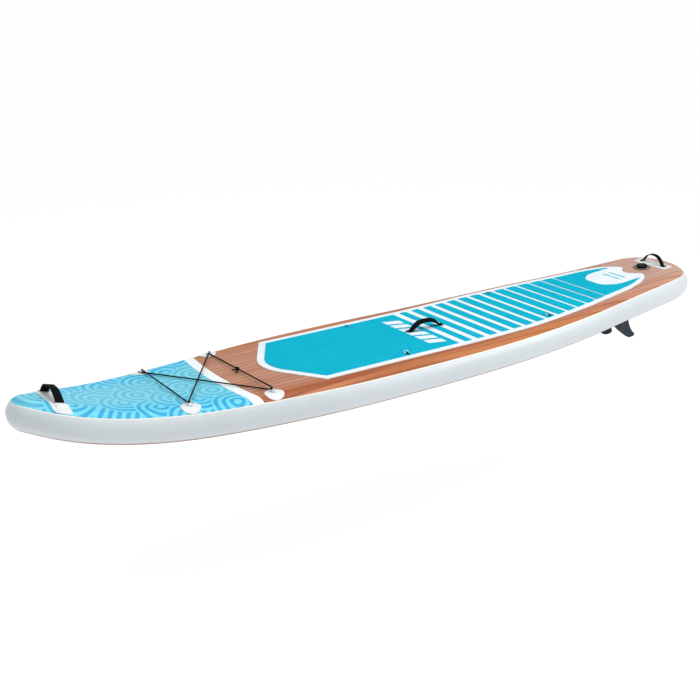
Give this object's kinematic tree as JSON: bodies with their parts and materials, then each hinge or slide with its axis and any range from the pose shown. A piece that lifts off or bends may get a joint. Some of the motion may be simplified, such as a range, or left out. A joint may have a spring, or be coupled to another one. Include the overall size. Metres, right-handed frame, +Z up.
{
  "type": "stand up paddleboard",
  "caption": "Inflatable touring paddleboard with a grooved traction pad, bungee tie-down, carry handles, inflation valve and a slide-in centre fin between two side fins.",
  "frame": {"origin": "on the flat of the hull bottom, on the centre line, half way along the board", "axes": "+X to the nose, +Y to port, +Z up out of the deck"},
  "size_m": [3.81, 0.82, 0.4695],
  "materials": {
    "wood_print_deck": "printed PVC, satin",
    "brown_bottom": "printed PVC, satin",
    "white_rail": "PVC, satin",
    "drop_stitch_cloth": "woven polyester",
    "pad_white_foam": "closed cell foam, matte",
    "pad_cyan_foam": "grooved closed cell foam, matte",
    "white_reinforcement": "PVC cloth, satin",
    "black_plastic": "moulded",
    "black_webbing": "woven",
    "grey_plastic": "moulded",
    "stainless_steel": "polished wire",
    "black_bungee": "braided sleeve",
    "blue_grey_fin": "moulded, satin"
  },
  "bodies": {
    "board": {"deck_skin": "wood_print_deck", "bottom_skin": "brown_bottom", "rail_wall": "white_rail", "drop_stitch_core": "drop_stitch_cloth", "pad_base": "pad_white_foam", "pad_front": "pad_cyan_foam", "pad_tail": "pad_cyan_foam", "pad_band_01": "pad_cyan_foam", "pad_band_02": "pad_cyan_foam", "pad_band_03": "pad_cyan_foam", "pad_band_04": "pad_cyan_foam", "pad_band_05": "pad_cyan_foam", "pad_band_06": "pad_cyan_foam", "pad_band_07": "pad_cyan_foam", "pad_band_08": "pad_cyan_foam", "pad_band_09": "pad_cyan_foam", "pad_band_10": "pad_cyan_foam", "pad_band_11": "pad_cyan_foam", "pad_band_12": "pad_cyan_foam", "pad_band_13": "pad_cyan_foam", "ring_patch_front_port": "white_reinforcement", "ring_tab_front_port": "white_reinforcement", "d_ring_front_port": "stainless_steel", "pad_tab_front_port": "black_webbing", "ring_patch_front_starboard": "white_reinforcement", "ring_tab_front_starboard": "white_reinforcement", "d_ring_front_starboard": "stainless_steel", "pad_tab_front_starboard": "black_webbing", "ring_patch_rear_port": "white_reinforcement", "ring_tab_rear_port": "white_reinforcement", "d_ring_rear_port": "stainless_steel", "pad_tab_rear_port": "black_webbing", "ring_patch_rear_starboard": "white_reinforcement", "ring_tab_rear_starboard": "white_reinforcement", "d_ring_rear_starboard": "stainless_steel", "pad_tab_rear_starboard": "black_webbing", "bungee_cord": "black_bungee", "nose_patch": "white_reinforcement", "nose_webbing": "black_webbing", "nose_flap_port": "white_reinforcement", "nose_flap_starboard": "white_reinforcement", "tail_patch": "white_reinforcement", "tail_webbing": "black_webbing", "center_handle": "black_webbing", "valve_body": "black_plastic", "valve_nut": "black_plastic", "valve_spring": "stainless_steel", "fin_box": "grey_plastic", "side_fin_port": "black_plastic", "side_fin_starboard": "black_plastic"},
    "tie_ring_front_port": {"pad_ring_front_port": "stainless_steel"},
    "tie_ring_front_starboard": {"pad_ring_front_starboard": "stainless_steel"},
    "tie_ring_rear_port": {"pad_ring_rear_port": "stainless_steel"},
    "tie_ring_rear_starboard": {"pad_ring_rear_starboard": "stainless_steel"},
    "valve_plunger": {"valve_stem": "grey_plastic"},
    "valve_twist": {"valve_button": "grey_plastic"},
    "valve_lid": {"valve_strap": "black_plastic"},
    "valve_cap_turn": {"valve_cap": "black_plastic"},
    "fin": {"center_fin": "blue_grey_fin"},
    "fin_catch": {"fin_lever": "grey_plastic"}
  },
  "joints": [
    {"name": "tie_ring_front_port_swing", "type": "hinge", "parent": "board", "child": "tie_ring_front_port", "pos_m": [0.094, 0.25, 0.1599], "axis": [-1, 0, 0], "range_deg": [-20, 125]},
    {"name": "tie_ring_front_starboard_swing", "type": "hinge", "parent": "board", "child": "tie_ring_front_starboard", "pos_m": [0.094, -0.25, 0.1599], "axis": [1, 0, 0], "range_deg": [-20, 125]},
    {"name": "tie_ring_rear_port_swing", "type": "hinge", "parent": "board", "child": "tie_ring_rear_port", "pos_m": [-0.79, 0.236, 0.173], "axis": [-0.9994, 0, 0.0348], "range_deg": [-20, 125]},
    {"name": "tie_ring_rear_starboard_swing", "type": "hinge", "parent": "board", "child": "tie_ring_rear_starboard", "pos_m": [-0.79, -0.236, 0.173], "axis": [0.9994, 0, -0.0348], "range_deg": [-20, 125]},
    {"name": "valve_press", "type": "slide", "parent": "board", "child": "valve_plunger", "axis": [-0.0711, 0, -0.9975], "range_m": [0, 0.006], "stiffness_N_per_m": 900, "springref_m": -0.005, "deforming": ["valve_spring"]},
    {"name": "valve_button_turn", "type": "hinge", "parent": "valve_plunger", "child": "valve_twist", "pos_m": [-1.676, 0, 0.21184], "axis": [0.0711, 0, 0.9975], "range_deg": [0, 90]},
    {"name": "valve_lid_swing", "type": "hinge", "parent": "board", "child": "valve_lid", "pos_m": [-1.6756, -0.039, 0.2175], "axis": [0.9975, 0, -0.0711], "range_deg": [0, 140]},
    {"name": "valve_cap_twist", "type": "hinge", "parent": "valve_lid", "child": "valve_cap_turn", "pos_m": [-1.676, 0, 0.21184], "axis": [0.0711, 0, 0.9975], "range_deg": [0, 90]},
    {"name": "fin_slide", "type": "slide", "parent": "board", "child": "fin", "axis": [-0.9979, 0, 0.0648], "range_m": [0, 0.23]},
    {"name": "fin_catch_swing", "type": "hinge", "parent": "fin", "child": "fin_catch", "pos_m": [-1.59272, 0, 0.04137], "axis": [0, -1, 0], "range_deg": [0, 85]}
  ]
}
